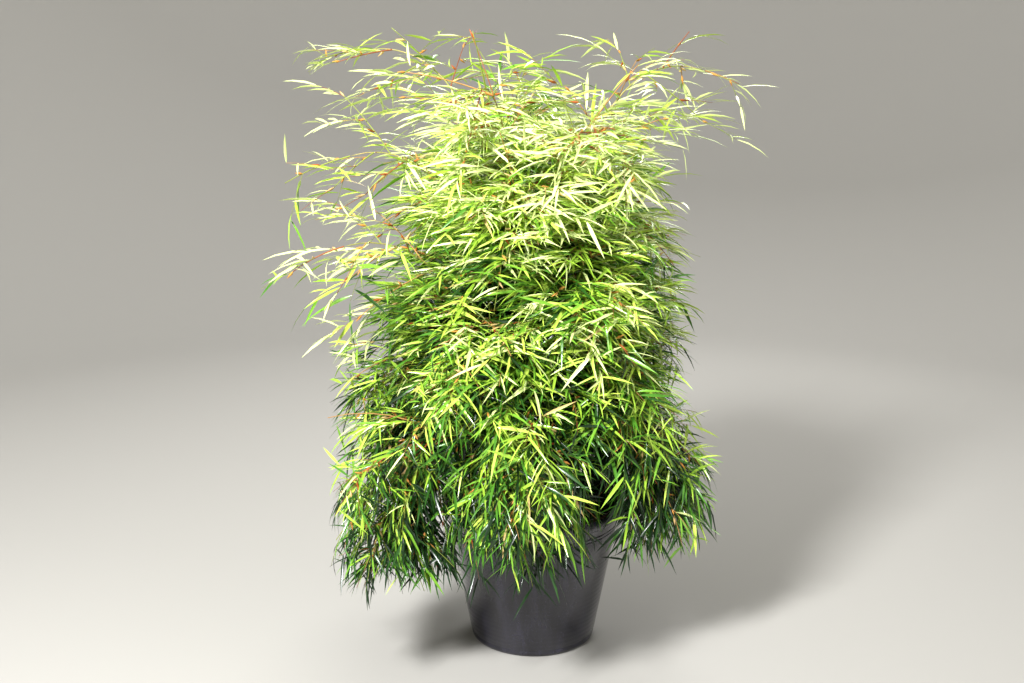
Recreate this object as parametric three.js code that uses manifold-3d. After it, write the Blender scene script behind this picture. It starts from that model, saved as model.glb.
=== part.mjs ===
// A clump of weeping bamboo in a round tapered pot: arching canes that stand in the soil, and one mass of
// leafy twigs at the end of each cane. Low canes hang over the rim, high ones end in open, airy shoots.
// Millimetres, +Z up. The origin is the centre of the pot's flat underside, and -Y faces the viewer.
import * as THREE from "three";
import { mergeVertices } from "three/addons/utils/BufferGeometryUtils.js";
import Module from "manifold-3d";

const wasm = await Module();
wasm.setup();

// Pot and soil
const POT_HEIGHT = 400;
const POT_FOOT_RADIUS = 170;
const POT_NECK_RADIUS = 238;
const POT_LIP_PROUD = 12;
const POT_LIP_HEIGHT = 34;
const POT_LIP_FOOT = POT_HEIGHT - POT_LIP_HEIGHT;
const POT_WALL = 10;
const POT_FLOOR = 14;
const POT_EDGE = 4;
const POT_SIDES = 32;
const SOIL_DROP = 38;
const SOIL_TOP = POT_HEIGHT - SOIL_DROP;
const SEAT_GAP = 0.3;

// Crown: how far out the canes' tips lie at a height, from its skirt round the pot to its top.
const CROWN = [
  { height: 300, reach: 450 },
  { height: 600, reach: 340 },
  { height: 900, reach: 300 },
  { height: 1300, reach: 310 },
  { height: 1650, reach: 250 },
];

// Canes: the tip of each one is higher than the last, and a turn step further round, which is close to a
// golden angle. The low ones stand at the rim, arch over and hang down outside the pot, and the high ones stand
// in the middle and hardly hang. Hang is how far a tip is below its cane's upper bend, bendOut is how far out
// that bend is, as a share, and sideLean is how far the tip is drawn towards -X. The bare share of a cane has
// no leaves. The twigs of the mass at its end have the length twig, sag under their own weight, and carry
// leaves that droop.
const CANE_COUNT = 24;
const LOWEST = {
  tip: 375, foot: 150, hang: 440, bendOut: 0.88, sideLean: 50, bare: 0.36, twig: 150, sag: 0.95, droop: 0.4,
};
const HIGHEST = {
  tip: 1600, foot: 30, hang: 80, bendOut: 0.4, sideLean: 10, bare: 0.54, twig: 130, sag: 0.5, droop: 0.2,
};
const FIRST_TURN = 200;
const TURN_STEP = 138.2;
const RISE = 0.72;
const RISE_LEAN = 0.3;
const TURN_SPREAD = 9;
const REACH_SPREAD = 0.08;
const CURVE_STEPS = 30;
const CANE_FOOT_RADIUS = 5.5;
const CANE_TIP_RADIUS = 3.2;
const CANE_SIDES = 5;
const CANE_STEPS = 6;

// Shoots that stand out beyond the crown, by number, with measures of their own.
const FAR_SHOOTS = {
  14: { tip: 1130, reach: 540, hang: 50, sag: 0.3, droop: 0.05 },
  19: { reach: 470, hang: 70, sag: 0.3, droop: 0.05 },
  23: { reach: 430, hang: 90 },
  24: { reach: 450, hang: 40 },
};

// The stem and twigs of a leafy mass
const STEM_TIP_RADIUS = 2.6;
const STEM_SIDES = 4;
const STEM_STEPS = 6;
const TWIGS_ON_STEM = 9;
const TWIG_FIRST = 0.05;
const TWIG_LAST = 0.92;
const TWIG_ROOT_RADIUS = 1.9;
const TWIG_TIP_RADIUS = 1.3;
const TWIG_SIDES = 3;
const TWIG_STEPS = 2;
const TWIG_SPREAD_ANGLE = 52;
const GOLDEN_ANGLE = 137.5;
const TWIG_TURN_SPREAD = 20;
const TWIG_LENGTH_SPREAD = 0.18;
const TWIG_SHRINK = 0.3;
const TWIG_TRIES = 4;
const TWIG_TRY_ANGLE = 55;

// Leaves. Thickness, the widest place and arch are shares of a leaf's length.
const LEAVES_ON_TWIG = 2;
const LEAF_FIRST = 0.35;
const LEAF_STEP = 0.3;
const LEAF_AT_TIP = 0.985;
const LEAF_LENGTH = 205;
const LEAF_LENGTH_SPREAD = 0.2;
const LEAF_WIDTH = 42;
const LEAF_THICKNESS = 0.013;
const LEAF_WIDEST = 0.36;
const LEAF_ARCH = 0.06;
const LEAF_SUNK = 10;
const LEAF_SPREAD_ANGLE = 34;
const LEAF_ROLL = 50;
const LEAF_TRIES = 5;
const LEAF_TRY_ANGLE = 47;
const TRY_SHORTENING = 0.88;

// The space that leaves keep clear
const CLEARANCE = 7;
const LEAF_GAP = 0.5;
const SLIVER = 0.03;
const LOWEST_LEAF = 230;
const HIGHEST_LEAF = 1675;
const POT_CLEAR_RADIUS = POT_NECK_RADIUS + POT_LIP_PROUD + 2 * CLEARANCE;

const COLOURS = {
  pot: { color: 0x35343f, roughness: 0.42, metalness: 0 },
  soil: { color: 0x2d2118, roughness: 0.96, metalness: 0 },
  cane: { color: 0x8a8a3a, roughness: 0.55, metalness: 0 },
  leaf: { color: 0x86b83a, roughness: 0.5, metalness: 0 },
};

const UP = new THREE.Vector3(0, 0, 1);
const degrees = THREE.MathUtils.degToRad;
const spread = (random, amount) => (2 * random() - 1) * amount;

// The same seed always gives the same plant.
function seeded(seed) {
  let state = seed >>> 0;
  const next = () => {
    state = (Math.imul(state, 1664525) + 1013904223) >>> 0;
    return state / 4294967296;
  };
  for (let i = 0; i < 4; i++) next();
  return next;
}

// The place at a share of the way along a row of points.
function along(points, share) {
  const place = Math.min(Math.max(share, 0), 1) * (points.length - 1);
  const low = Math.min(Math.floor(place), points.length - 2);
  return points[low].clone().lerp(points[low + 1], place - low);
}

function heading(points, share) {
  const step = 0.5 / (points.length - 1);
  return along(points, share + step).sub(along(points, share - step)).normalize();
}

function slice(points, from, to, steps) {
  return Array.from({ length: steps + 1 }, (_, i) => along(points, from + ((to - from) * i) / steps));
}

// Two directions square to a heading, the first of them level.
function squareTo(ahead) {
  const side = new THREE.Vector3().crossVectors(ahead, UP);
  if (side.lengthSq() < 1e-6) side.set(1, 0, 0);
  side.normalize();
  return [side, new THREE.Vector3().crossVectors(side, ahead)];
}

// A closed cylinder bent along a row of points, tapering from its foot to its tip. ends gives the directions
// that its end faces are square to, where they aren't those of the row itself.
function bentRod(points, level, footRadius, tipRadius, sides, ends = {}) {
  const steps = points.length - 1;
  const rod = new THREE.CylinderGeometry(1, 1, 1, sides, steps);
  const position = rod.getAttribute("position");
  for (let i = 0; i < position.count; i++) {
    const share = position.getY(i) + 0.5;
    const ring = Math.round(share * steps);
    const ahead = (ring === 0 && ends.foot) || (ring === steps && ends.tip) || heading(points, ring / steps);
    const over = new THREE.Vector3().crossVectors(level, ahead).normalize();
    const side = new THREE.Vector3().crossVectors(ahead, over);
    const radius = footRadius + (tipRadius - footRadius) * share;
    const place = points[ring]
      .clone()
      .addScaledVector(side, position.getX(i) * radius)
      .addScaledVector(over, position.getZ(i) * radius);
    position.setXYZ(i, place.x, place.y, place.z);
  }
  return rod;
}

function solidOf(geometry) {
  const bare = new THREE.BufferGeometry().setAttribute("position", geometry.getAttribute("position"));
  if (geometry.index) bare.setIndex(geometry.index);
  const merged = mergeVertices(bare, 1e-4);
  return new wasm.Manifold(
    new wasm.Mesh({
      numProp: 3,
      vertProperties: merged.getAttribute("position").array,
      triVerts: new Uint32Array(merged.index.array),
    }),
  );
}

// The joined pieces as one body: slivers are smoothed out, and a loose scrap or a sealed hollow is dropped.
function joined(pieces) {
  const whole = pieces.reduce((sum, piece) => sum.add(piece)).simplify(SLIVER);
  const body = whole.decompose().sort((a, b) => b.volume() - a.volume())[0];
  const mesh = body.getMesh();
  return new THREE.BufferGeometry()
    .setAttribute("position", new THREE.BufferAttribute(new Float32Array(mesh.vertProperties), 3))
    .setIndex(new THREE.BufferAttribute(mesh.triVerts, 1));
}

function lathed(profile) {
  const points = profile.map(([radius, height]) => new THREE.Vector2(radius, height));
  return new THREE.LatheGeometry(points, POT_SIDES).rotateX(Math.PI / 2);
}

// A wall of even thickness from the flat underside to a thick rolled lip, and the floor inside.
function potGeometry() {
  const lipRadius = POT_NECK_RADIUS + POT_LIP_PROUD;
  const mouthRadius = POT_NECK_RADIUS - POT_WALL;
  return lathed([
    [0, 0],
    [POT_FOOT_RADIUS - POT_EDGE, 0],
    [POT_FOOT_RADIUS, POT_EDGE],
    [POT_NECK_RADIUS, POT_LIP_FOOT - POT_EDGE],
    [lipRadius, POT_LIP_FOOT],
    [lipRadius, POT_HEIGHT - POT_EDGE],
    [lipRadius - POT_EDGE, POT_HEIGHT],
    [mouthRadius + POT_EDGE, POT_HEIGHT],
    [mouthRadius, POT_HEIGHT - POT_EDGE],
    [mouthRadius, POT_LIP_FOOT],
    [POT_FOOT_RADIUS - POT_WALL, POT_FLOOR],
    [0, POT_FLOOR],
  ]);
}

// The soil fills the pot from its floor to a little below the lip.
function soilGeometry() {
  const slope = (POT_NECK_RADIUS - POT_FOOT_RADIUS) / (POT_LIP_FOOT - POT_FLOOR);
  const inner = (height) => POT_FOOT_RADIUS - POT_WALL + slope * (height - POT_FLOOR) - 2 * SEAT_GAP;
  const foot = POT_FLOOR + SEAT_GAP;
  return lathed([
    [0, foot],
    [inner(foot), foot],
    [inner(SOIL_TOP), SOIL_TOP],
    [0, SOIL_TOP],
  ]);
}

function crownReach(height) {
  const above = Math.max(CROWN.findIndex((ring) => ring.height > height), 1);
  const [low, high] = [CROWN[above - 1], CROWN[above]];
  return low.reach + ((high.reach - low.reach) * (height - low.height)) / (high.height - low.height);
}

// A cane's own measures, between those of the lowest and the highest, or a far shoot's own.
function measuresOf(index) {
  const rank = index / (CANE_COUNT - 1);
  const blend = ([key, low]) => [key, low + (HIGHEST[key] - low) * rank];
  return { ...Object.fromEntries(Object.entries(LOWEST).map(blend)), ...FAR_SHOOTS[index + 1] };
}

// Points along a cane and on to its tip, and the level direction square to the way it bends.
function canePath(index, measures) {
  const random = seeded(37 * index + 5);
  const azimuth = degrees(FIRST_TURN + TURN_STEP * index + spread(random, TURN_SPREAD));
  const reach = (measures.reach ?? crownReach(measures.tip)) * (1 + spread(random, REACH_SPREAD));
  const place = (out, height, turn, lean) =>
    new THREE.Vector3(out * Math.cos(turn) - lean * measures.sideLean, out * Math.sin(turn), height);
  const bend = measures.tip + measures.hang;
  const curve = new THREE.CubicBezierCurve3(
    place(measures.foot, SOIL_TOP + SEAT_GAP, azimuth, 0),
    place(measures.foot, SOIL_TOP + RISE * (bend - SOIL_TOP), azimuth, RISE_LEAN),
    place(reach * measures.bendOut, bend, azimuth + degrees(spread(random, TURN_SPREAD)), 1),
    place(reach, measures.tip, azimuth, 1),
  );
  const level = new THREE.Vector3(-Math.sin(azimuth), Math.cos(azimuth), 0);
  return { points: curve.getSpacedPoints(CURVE_STEPS), length: curve.getLength(), level };
}

// A cane's path is cut where its leafy mass begins: the rest of it is the mass's stem.
function growCane(index) {
  const measures = measuresOf(index);
  const { points, length, level } = canePath(index, measures);
  return {
    number: String(index + 1).padStart(2, "0"),
    seed: 7000 + index,
    cane: slice(points, 0, measures.bare, CANE_STEPS),
    stem: slice(points, measures.bare + SEAT_GAP / length, 1, STEM_STEPS),
    cutAhead: heading(points, measures.bare),
    level,
    twig: measures.twig,
    sag: measures.sag,
    droop: measures.droop,
  };
}

function distanceToPath(place, points) {
  let least = Infinity;
  const line = new THREE.Line3();
  const nearest = new THREE.Vector3();
  for (let i = 0; i < points.length - 1; i++) {
    line.set(points[i], points[i + 1]);
    line.closestPointToPoint(place, true, nearest);
    least = Math.min(least, nearest.distanceTo(place));
  }
  return least;
}

// A mass keeps to the space nearest its own stem, clear of every cane, the pot and the ground.
function inOwnSpace(place, own, plants) {
  if (place.z < LOWEST_LEAF || place.z > HIGHEST_LEAF) return false;
  const outward = Math.hypot(place.x, place.y);
  if (place.z < POT_HEIGHT + CLEARANCE && outward < POT_CLEAR_RADIUS) return false;
  const reach = distanceToPath(place, own.stem);
  return plants.every(
    (other) =>
      distanceToPath(place, other.cane) > CANE_FOOT_RADIUS + CLEARANCE &&
      (other === own || distanceToPath(place, other.stem) > reach + CLEARANCE),
  );
}

// One twig: it leaves the stem at an angle and sags.
function makeTwig(plant, share, spin, length) {
  const root = along(plant.stem, share);
  const stemAhead = heading(plant.stem, share);
  const [side, over] = squareTo(stemAhead);
  const sideways = Math.sin(degrees(TWIG_SPREAD_ANGLE));
  const way = stemAhead
    .multiplyScalar(Math.cos(degrees(TWIG_SPREAD_ANGLE)))
    .addScaledVector(side, sideways * Math.cos(spin))
    .addScaledVector(over, sideways * Math.sin(spin));
  const points = [root];
  for (let i = 0; i < TWIG_STEPS; i++) {
    way.addScaledVector(UP, -plant.sag / TWIG_STEPS).normalize();
    points.push(points[i].clone().addScaledVector(way, length / TWIG_STEPS));
  }
  return { points, level: squareTo(way)[0] };
}

// The first of a few twigs, each shorter and further round the stem, that stays in its mass's own space.
function placedTwig(plant, plants, index, random) {
  const share = TWIG_FIRST + ((TWIG_LAST - TWIG_FIRST) * index) / (TWIGS_ON_STEM - 1);
  let spin = degrees(GOLDEN_ANGLE * index + spread(random, TWIG_TURN_SPREAD));
  let length = plant.twig * (1 + spread(random, TWIG_LENGTH_SPREAD)) * (1 - TWIG_SHRINK * share);
  for (let turn = 0; turn < TWIG_TRIES; turn++) {
    const twig = makeTwig(plant, share, spin, length);
    if (slice(twig.points, 0.2, 1, 4).every((place) => inOwnSpace(place, plant, plants))) return twig;
    spin += degrees(TWIG_TRY_ANGLE);
    length *= TRY_SHORTENING;
  }
  return null;
}

// A leaf's direction leans out from its twig and droops, and its upper face looks up and outwards.
function makeLeaf(root, twigAhead, sideways, droop, random) {
  const ahead = twigAhead
    .clone()
    .multiplyScalar(Math.cos(degrees(LEAF_SPREAD_ANGLE)))
    .addScaledVector(sideways, Math.sin(degrees(LEAF_SPREAD_ANGLE)))
    .addScaledVector(UP, -droop)
    .normalize();
  const outward = new THREE.Vector3(root.x, root.y, 0).normalize().add(UP).normalize();
  const roll = degrees(spread(random, LEAF_ROLL));
  const side = new THREE.Vector3().crossVectors(ahead, outward).normalize().applyAxisAngle(ahead, roll);
  const face = new THREE.Vector3().crossVectors(side, ahead);
  const length = LEAF_LENGTH * (1 + spread(random, LEAF_LENGTH_SPREAD));
  return { root, twigAhead, ahead, side, face, length };
}

// Leaves on alternate sides of a twig, and one at its tip.
function leavesOf(twig, droop, random) {
  const leaves = [];
  for (let i = 0; i < LEAVES_ON_TWIG; i++) {
    const share = LEAF_FIRST + LEAF_STEP * i;
    const ahead = heading(twig.points, share);
    const sideways = squareTo(ahead)[0].multiplyScalar(i % 2 ? -1 : 1);
    leaves.push(makeLeaf(along(twig.points, share), ahead, sideways, droop, random));
  }
  leaves.push(leafAtTip(twig.points, droop, random));
  return leaves;
}

function leafAtTip(points, droop, random) {
  return makeLeaf(along(points, LEAF_AT_TIP), heading(points, 1), new THREE.Vector3(), droop, random);
}

// A lance-shaped blade of eight faces, widest a third of the way along and arched down to its tip. Its heel
// lies inside the twig.
function leafBlade(leaf) {
  const blade = new THREE.OctahedronGeometry(1, 0);
  const position = blade.getAttribute("position");
  const widest = leaf.root
    .clone()
    .addScaledVector(leaf.ahead, LEAF_WIDEST * leaf.length)
    .addScaledVector(leaf.face, LEAF_ARCH * leaf.length);
  const tip = leaf.root.clone().addScaledVector(leaf.ahead, leaf.length);
  const heel = leaf.root.clone().addScaledVector(leaf.twigAhead, -LEAF_SUNK);
  for (let i = 0; i < position.count; i++) {
    const lengthways = position.getY(i);
    const place = (lengthways > 0.5 ? tip : lengthways < -0.5 ? heel : widest).clone();
    place.addScaledVector(leaf.side, (position.getX(i) * LEAF_WIDTH) / 2);
    place.addScaledVector(leaf.face, (position.getZ(i) * LEAF_THICKNESS * leaf.length) / 2);
    position.setXYZ(i, place.x, place.y, place.z);
  }
  return blade;
}

// Both edges of a leaf, at its foot, widest place and beyond, and its tip lie in the mass's own space.
function leafIsClear(leaf, plant, plants) {
  const placeOn = (share, edge) =>
    leaf.root.clone().addScaledVector(leaf.ahead, leaf.length * share).addScaledVector(leaf.side, edge);
  const edges = [0.15, LEAF_WIDEST, 0.7].flatMap((share) => [
    placeOn(share, -LEAF_WIDTH / 2),
    placeOn(share, LEAF_WIDTH / 2),
  ]);
  return [...edges, placeOn(1, 0)].every((place) => inOwnSpace(place, plant, plants));
}

// The first of a few leaves, each shorter and rolled further, that is clear of other masses and of its own.
function placedLeaf(leaf, plant, plants, blades) {
  for (let turn = 0; turn < LEAF_TRIES; turn++) {
    if (leafIsClear(leaf, plant, plants)) {
      const blade = solidOf(leafBlade(leaf));
      if (!blades.some((other) => blade.minGap(other, 1) < LEAF_GAP)) return blade;
    }
    leaf.side.applyAxisAngle(leaf.ahead, degrees(LEAF_TRY_ANGLE));
    leaf.face.applyAxisAngle(leaf.ahead, degrees(LEAF_TRY_ANGLE));
    leaf.length *= TRY_SHORTENING;
  }
  return null;
}

// One leafy mass: its stem goes on from the cane's tip, and twigs and leaves are fused to it.
function massGeometry(plant, plants) {
  const random = seeded(plant.seed);
  const ends = { foot: plant.cutAhead };
  const wood = [bentRod(plant.stem, plant.level, CANE_TIP_RADIUS, STEM_TIP_RADIUS, STEM_SIDES, ends)];
  const leaves = [leafAtTip(plant.stem, plant.droop, random)];
  for (let i = 0; i < TWIGS_ON_STEM; i++) {
    const twig = placedTwig(plant, plants, i, random);
    if (!twig) continue;
    wood.push(bentRod(twig.points, twig.level, TWIG_ROOT_RADIUS, TWIG_TIP_RADIUS, TWIG_SIDES));
    leaves.push(...leavesOf(twig, plant.droop, random));
  }
  const blades = [];
  for (const leaf of leaves) {
    const blade = placedLeaf(leaf, plant, plants, blades);
    if (blade) blades.push(blade);
  }
  return joined([...wood.map(solidOf), ...blades]);
}

// The bare part of a cane, flat on the soil at its foot.
function caneGeometry(plant) {
  const ends = { foot: UP, tip: plant.cutAhead };
  return bentRod(plant.cane, plant.level, CANE_FOOT_RADIUS, CANE_TIP_RADIUS, CANE_SIDES, ends);
}

function named(name, geometry, look) {
  const mesh = new THREE.Mesh(geometry, new THREE.MeshStandardMaterial(COLOURS[look]));
  mesh.name = name;
  return mesh;
}

const bamboo = new THREE.Group();
bamboo.add(named("pot", potGeometry(), "pot"));
bamboo.add(named("soil", soilGeometry(), "soil"));
const plants = Array.from({ length: CANE_COUNT }, (_, index) => growCane(index));
for (const plant of plants) {
  bamboo.add(named(`cane_${plant.number}`, caneGeometry(plant), "cane"));
  bamboo.add(named(`leaves_${plant.number}`, massGeometry(plant, plants), "leaf"));
}

export default bamboo;
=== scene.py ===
import math

import bpy
import numpy as np
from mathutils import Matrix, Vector


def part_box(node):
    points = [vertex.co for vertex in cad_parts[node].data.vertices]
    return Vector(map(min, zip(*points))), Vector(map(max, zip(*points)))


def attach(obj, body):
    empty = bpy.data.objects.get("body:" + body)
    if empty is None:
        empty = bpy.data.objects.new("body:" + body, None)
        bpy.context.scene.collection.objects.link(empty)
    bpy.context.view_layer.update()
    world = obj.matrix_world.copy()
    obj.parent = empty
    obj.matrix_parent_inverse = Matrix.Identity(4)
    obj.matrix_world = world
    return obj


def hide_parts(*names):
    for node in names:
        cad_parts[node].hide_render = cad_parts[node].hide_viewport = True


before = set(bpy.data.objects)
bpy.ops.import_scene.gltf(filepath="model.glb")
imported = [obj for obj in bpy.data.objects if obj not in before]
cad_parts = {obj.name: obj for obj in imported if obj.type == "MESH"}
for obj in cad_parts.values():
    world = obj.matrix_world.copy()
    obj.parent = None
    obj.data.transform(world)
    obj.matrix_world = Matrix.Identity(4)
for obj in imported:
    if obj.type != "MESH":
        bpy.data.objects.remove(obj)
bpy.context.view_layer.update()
bpy.ops.object.select_all(action="DESELECT")


# The studio: a plain pale floor that turns up into a round backdrop of the same paint, under an even pale sky. The
# main lamp is small and strong and stands high on the left in front, a large weak one stands on the right, and one
# behind lights the tips of the shoots. The camera stands 1.62 m up and 3.25 m in front of the pot.
LENS = 45.2
CAMERA_AT = (-0.862, -3.25, 1.62)
CAMERA_AIM = (-0.06, 0.0, 0.84)
LAMPS = {
    "main_lamp": {"at": (-2.7, -2.6, 3.9), "size": 0.8, "power": 560},
    "fill_lamp": {"at": (3.0, -2.6, 3.2), "size": 3.0, "power": 38},
    "back_lamp": {"at": (1.6, 3.0, 3.4), "size": 2.0, "power": 110},
}
LAMP_AIM = (0.0, 0.0, 0.9)
SKY_STRENGTH = 0.34
FLOOR_SIDES = 96
FLOOR_RADIUS = 3.8
BACKDROP_BEND = 2.2  # radius of the bend from the floor to the backdrop
BACKDROP_TOP = 5.5
BEND_STEPS = 15


def linear(colour):
    """The linear colour of an sRGB hex value such as "#35343f"."""
    shares = [int(colour[i : i + 2], 16) / 255 for i in (1, 3, 5)]
    return [*(c / 12.92 if c <= 0.04045 else ((c + 0.055) / 1.055) ** 2.4 for c in shares), 1.0]


def new_material(name):
    """A material with an empty node tree, and that tree."""
    made = bpy.data.materials.new(name)
    made.use_nodes = True
    made.node_tree.nodes.clear()
    return made, made.node_tree


def add(tree, kind, inputs=None, **settings):
    """Adds a node. Each input, by name or number, gets a value, or a link from another node's output."""
    made = tree.nodes.new(kind)
    for name, value in settings.items():
        setattr(made, name, value)
    for name, value in (inputs or {}).items():
        if isinstance(value, bpy.types.NodeSocket):
            tree.links.new(value, made.inputs[name])
        else:
            made.inputs[name].default_value = value
    return made


def turned_to(thing, target):
    """Turns a lamp or a camera to look at a point."""
    way = Vector(target) - thing.location
    thing.rotation_euler = way.to_track_quat("-Z", "Y").to_euler()


def extruded(rings, start):
    """Extrudes what is selected from ring to ring, each of them a radius and a height."""
    radius, height = start
    for wider, higher in rings:
        bpy.ops.mesh.extrude_region_move(TRANSFORM_OT_translate={"value": (0, 0, higher - height)})
        share = wider / radius
        bpy.ops.transform.resize(value=(share, share, 1), center_override=(0, 0, higher))
        radius, height = wider, higher


bpy.ops.object.camera_add(location=CAMERA_AT)
camera = bpy.context.object
camera.data.lens = LENS
turned_to(camera, CAMERA_AIM)
bpy.context.scene.camera = camera

for name, lamp in LAMPS.items():
    bpy.ops.object.light_add(type="AREA", location=lamp["at"])
    light = bpy.context.object
    light.name = name
    light.data.size = lamp["size"]
    light.data.energy = lamp["power"]
    turned_to(light, LAMP_AIM)

sky = bpy.data.worlds.new("pale_sky")
sky.use_nodes = True
sky.node_tree.nodes["Background"].inputs["Color"].default_value = linear("#f1f2f4")
sky.node_tree.nodes["Background"].inputs["Strength"].default_value = SKY_STRENGTH
bpy.context.scene.world = sky
bpy.context.scene.view_settings.view_transform = "Standard"

bpy.ops.mesh.primitive_circle_add(vertices=FLOOR_SIDES, radius=FLOOR_RADIUS, fill_type="NGON")
floor = bpy.context.object
floor.name = "floor"
bpy.ops.object.mode_set(mode="EDIT")
bpy.ops.mesh.select_all(action="SELECT")
turns = [math.radians(90 * k / BEND_STEPS) for k in range(1, BEND_STEPS + 1)]
bend = [(FLOOR_RADIUS + BACKDROP_BEND * math.sin(t), BACKDROP_BEND * (1 - math.cos(t))) for t in turns]
extruded([*bend, (FLOOR_RADIUS + BACKDROP_BEND, BACKDROP_TOP)], (FLOOR_RADIUS, 0))
bpy.ops.object.mode_set(mode="OBJECT")
bpy.ops.object.shade_smooth_by_angle(angle=math.radians(30))

# Matt painted board: it sends back an even, soft light and shows only a soft shadow beside the pot.
paint, tree = new_material("matt_pale_paint")
shader = add(tree, "ShaderNodeBsdfPrincipled", {"Base Color": linear("#aaa8a3"), "Roughness": 0.9})
add(tree, "ShaderNodeOutputMaterial", {"Surface": shader.outputs[0]})
floor.data.materials.append(paint)


# The pot is a round tapered stoneware pot, thrown on a wheel and dipped in a dark slate-violet glaze. Its wall has a
# thick rounded lip, two scored lines under it and a shallow groove above the foot. It stands on its flat underside
# and holds everything else.
POT_SIDES = 96
POT_SCORE = 0.0018  # depth of the two scored lines
LIP_BREAK = (0.4005, 0.4075)  # where the glaze begins to break on the lip, and where it is all brown
POT_FOOT = (0.166, 0.0)
POT_PROFILE = [  # radius and height of each ring, up the outside, over the lip, and down the inside to the floor
    (0.1700, 0.0040),
    (0.1716, 0.0130),
    (0.1702, 0.0160),
    (0.1712, 0.0200),
    (0.1745, 0.0260),
    (0.1910, 0.1140),
    (0.2075, 0.2020),
    (0.2240, 0.2890),
    (0.2318, 0.3300),
    (0.2324 - POT_SCORE, 0.3325),
    (0.2332, 0.3350),
    (0.2342, 0.3400),
    (0.2347 - POT_SCORE, 0.3425),
    (0.2355, 0.3450),
    (0.2380, 0.3580),
    (0.2395, 0.3630),
    (0.2460, 0.3665),
    (0.2490, 0.3710),
    (0.2500, 0.3790),
    (0.2500, 0.3880),
    (0.2485, 0.3950),
    (0.2450, 0.3990),
    (0.2400, 0.4000),
    (0.2340, 0.3990),
    (0.2300, 0.3950),
    (0.2280, 0.3880),
    (0.2270, 0.3660),
    (0.1950, 0.1940),
    (0.1600, 0.0140),
]


bpy.ops.mesh.primitive_circle_add(vertices=POT_SIDES, radius=POT_FOOT[0], fill_type="NGON")
pot = bpy.context.object
pot.name = "glazed_pot"
bpy.ops.object.mode_set(mode="EDIT")
bpy.ops.mesh.select_all(action="SELECT")
extruded(POT_PROFILE, POT_FOOT)
bpy.ops.mesh.select_all(action="SELECT")
bpy.ops.mesh.normals_make_consistent(inside=False)
bpy.ops.object.mode_set(mode="OBJECT")
bpy.ops.object.shade_smooth_by_angle(angle=math.radians(50))

# Glazed stoneware: a glossy dark glass over clay. It runs down the wall in streaks about 40 mm wide, with flecks of
# 2 to 3 mm, and breaks to brown where it is thin on the lip. Faint rings from the throwing, 14 mm apart, bend the
# reflections.
glaze, tree = new_material("slate_glazed_stoneware")
place = add(tree, "ShaderNodeTexCoord").outputs["Object"]
stretched = add(tree, "ShaderNodeMapping", {"Vector": place, "Scale": (1, 1, 0.09)}).outputs[0]
runs = add(tree, "ShaderNodeTexNoise", {"Vector": stretched, "Scale": 26.0, "Detail": 5.0, "Roughness": 0.6})
streaks = add(tree, "ShaderNodeValToRGB", {"Fac": runs.outputs[0]})
ramp = streaks.color_ramp
ramp.elements[0].position, ramp.elements[0].color = 0.34, linear("#14131b")
ramp.elements[1].position, ramp.elements[1].color = 0.7, linear("#302f3f")
ramp.elements.new(0.5).color = linear("#22212b")
flecks = add(tree, "ShaderNodeTexNoise", {"Vector": place, "Scale": 420.0, "Detail": 2.0})
fleck = add(tree, "ShaderNodeMapRange", {"Value": flecks.outputs[0], "From Min": 0.66, "From Max": 0.72})
flecked = add(
    tree, "ShaderNodeMix", {0: fleck.outputs[0], 6: streaks.outputs[0], 7: linear("#4a495e")}, data_type="RGBA"
)
height = add(tree, "ShaderNodeSeparateXYZ", {"Vector": place}).outputs["Z"]
wander = add(tree, "ShaderNodeTexNoise", {"Vector": place, "Scale": 60.0, "Detail": 3.0}).outputs[0]
wandering = add(tree, "ShaderNodeMath", {0: wander, 1: 0.012, 2: height}, operation="MULTIPLY_ADD")
thin = add(
    tree,
    "ShaderNodeMapRange",
    {"Value": wandering.outputs[0], "From Min": LIP_BREAK[0], "From Max": LIP_BREAK[1]},
)
broken = add(
    tree, "ShaderNodeMix", {0: thin.outputs[0], 6: flecked.outputs[2], 7: linear("#6a4a38")}, data_type="RGBA"
)
rings = add(
    tree,
    "ShaderNodeTexWave",
    {"Vector": place, "Scale": 22.4, "Distortion": 1.2, "Detail": 2.0, "Detail Scale": 0.6},
    bands_direction="Z",
)
thrown = add(tree, "ShaderNodeBump", {"Height": rings.outputs["Fac"], "Strength": 0.22, "Distance": 0.0012})
ripple = add(tree, "ShaderNodeTexNoise", {"Vector": place, "Scale": 180.0, "Detail": 2.0})
rippled = add(
    tree,
    "ShaderNodeBump",
    {"Height": ripple.outputs[0], "Strength": 0.1, "Distance": 0.0006, "Normal": thrown.outputs[0]},
)
gloss = add(
    tree,
    "ShaderNodeMapRange",
    {"Value": runs.outputs[0], "From Min": 0.3, "From Max": 0.7, "To Min": 0.26, "To Max": 0.13},
)
shader = add(
    tree,
    "ShaderNodeBsdfPrincipled",
    {
        "Base Color": broken.outputs[2],
        "Roughness": gloss.outputs[0],
        "Normal": rippled.outputs[0],
        "IOR": 1.52,
        "Coat Weight": 0.35,
        "Coat Roughness": 0.07,
    },
)
add(tree, "ShaderNodeOutputMaterial", {"Surface": shader.outputs[0]})
pot.data.materials.append(glaze)
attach(pot, "root")
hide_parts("pot")


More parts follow.
